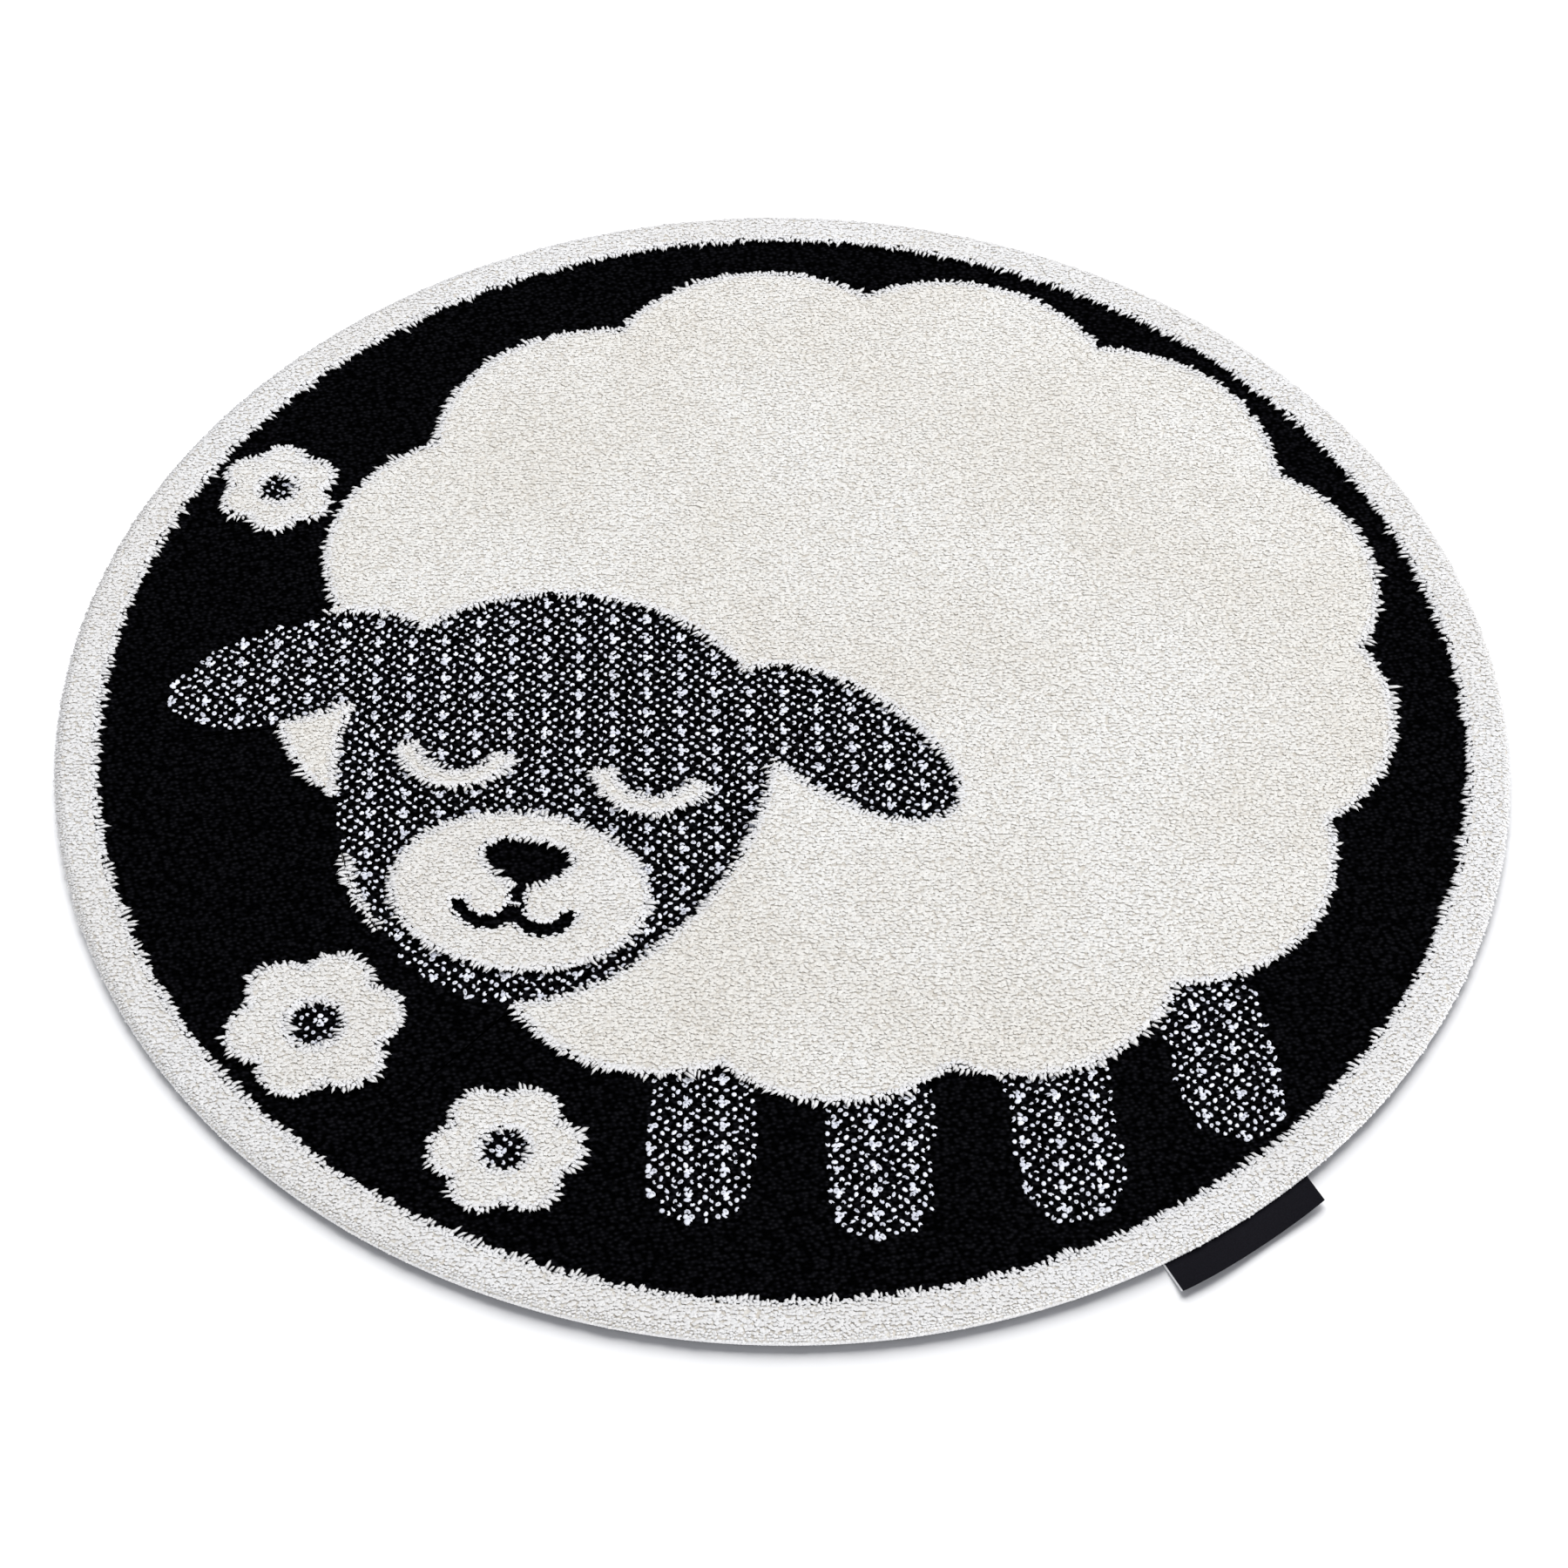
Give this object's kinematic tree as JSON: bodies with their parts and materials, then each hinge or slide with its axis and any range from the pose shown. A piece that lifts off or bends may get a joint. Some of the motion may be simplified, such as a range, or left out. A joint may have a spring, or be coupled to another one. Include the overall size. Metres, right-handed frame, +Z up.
{
  "type": "round kids rug",
  "caption": "Round woven kids rug with high cut pile border and lamb motif on a low loop ground, overlocked edge and a plain ribbon label.",
  "frame": {"origin": "on the floor, under the middle of the rug", "axes": "+Z up out of the pile, +Y the motif's up, away from the viewer, +X to the viewer's right"},
  "size_m": [1.2, 1.2, 0.0105],
  "materials": {
    "pile": "matt cream cut pile, with low loop pile in black and in black speckled with white",
    "binding": "matt white overlocked yarn",
    "label": "satin black ribbon, plain, with a white reverse"
  },
  "bodies": {
    "root": {"rug": "pile", "edge_binding": "binding", "label": "label"}
  },
  "joints": []
}
